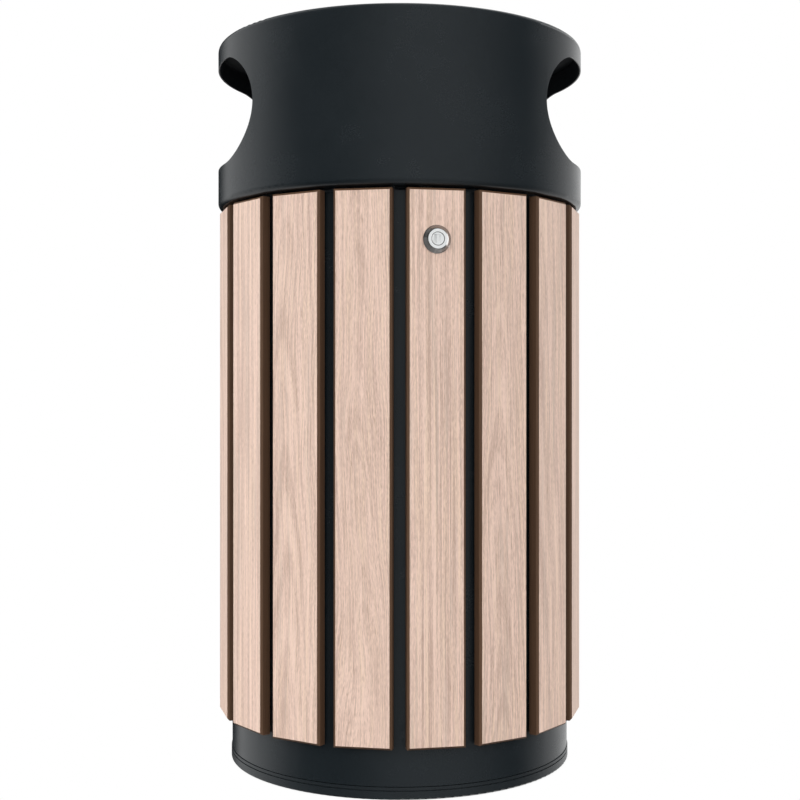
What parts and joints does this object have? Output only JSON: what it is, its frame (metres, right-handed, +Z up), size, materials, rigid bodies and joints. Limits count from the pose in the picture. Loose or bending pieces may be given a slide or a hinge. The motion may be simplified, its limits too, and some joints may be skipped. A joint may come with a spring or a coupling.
{
  "type": "litter bin",
  "caption": "Round outdoor litter bin: steel drum faced with upright oak-look slats, a tip-back hood open on two sides, a front cam lock and a lift-out liner.",
  "frame": {"origin": "centre of the bin's underside, on the ground", "axes": "+Z up; -Y is the front, where the lock is; +X to the right seen from the front; the throw-in openings face +X and -X; the hood's hinges are at +Y"},
  "size_m": [0.45, 0.4701, 0.869],
  "materials": {
    "anthracite_coat": "fine matt powder coat",
    "oak_laminate": "matt pale oak decor with a dark brown core at the edges",
    "black_polymer": "moulded, matt",
    "black_rubber": "moulded rubber",
    "zinc_plated_steel": "bright zinc plating",
    "galvanised_sheet": "galvanised with fine spangle",
    "lock_chrome": "bright chrome plating",
    "nylon": "natural nylon"
  },
  "bodies": {
    "base": {"foot_ring": "black_polymer", "foot_ring_screws": "zinc_plated_steel", "base_pan": "anthracite_coat", "drum": "anthracite_coat", "top_ring": "anthracite_coat", "rubber_buffers": "black_rubber", "slat_01": "oak_laminate", "slat_02": "oak_laminate", "slat_03": "oak_laminate", "slat_04": "oak_laminate", "slat_05": "oak_laminate", "slat_06": "oak_laminate", "slat_07": "oak_laminate", "slat_08": "oak_laminate", "slat_09": "oak_laminate", "slat_10": "oak_laminate", "slat_11": "oak_laminate", "slat_12": "oak_laminate", "slat_13": "oak_laminate", "slat_14": "oak_laminate", "slat_15": "oak_laminate", "slat_16": "oak_laminate", "slat_17": "oak_laminate", "slat_screws": "zinc_plated_steel", "hinge_bracket_left": "anthracite_coat", "hinge_bracket_right": "anthracite_coat", "hinge_bushes": "nylon", "bracket_bolts": "zinc_plated_steel", "bracket_nuts": "zinc_plated_steel", "lock_body": "lock_chrome", "lock_washer": "zinc_plated_steel", "lock_nut": "zinc_plated_steel"},
    "lock_core": {"lock_plug": "lock_chrome", "lock_cam": "zinc_plated_steel", "cam_nut": "zinc_plated_steel"},
    "hood": {"hood_shell": "anthracite_coat", "hood_ring": "anthracite_coat", "keeper": "anthracite_coat", "keeper_rivets": "anthracite_coat", "hinge_leaf_left": "anthracite_coat", "hinge_leaf_right": "anthracite_coat", "hinge_pins": "zinc_plated_steel", "leaf_bolts": "zinc_plated_steel", "leaf_nuts": "zinc_plated_steel"},
    "liner": {"liner": "galvanised_sheet", "liner_ear_left": "galvanised_sheet", "liner_ear_right": "galvanised_sheet", "ear_rivets": "zinc_plated_steel"},
    "bail": {"liner_handle": "zinc_plated_steel"}
  },
  "joints": [
    {"name": "hood_hinge", "type": "hinge", "parent": "base", "child": "hood", "pos_m": [0, 0.232, 0.664], "axis": [-1, 0, 0], "range_deg": [0, 100]},
    {"name": "lock_turn", "type": "hinge", "parent": "base", "child": "lock_core", "pos_m": [0.03675, -0.19659, 0.613], "axis": [0.1838, -0.983, 0], "range_deg": [0, 90]},
    {"name": "liner_lift", "type": "slide", "parent": "base", "child": "liner", "axis": [0, 0, 1], "range_m": [0, 0.1]},
    {"name": "bail_swing", "type": "hinge", "parent": "liner", "child": "bail", "pos_m": [0, 0, 0.5832], "axis": [1, 0, 0], "range_deg": [0, 180]}
  ]
}
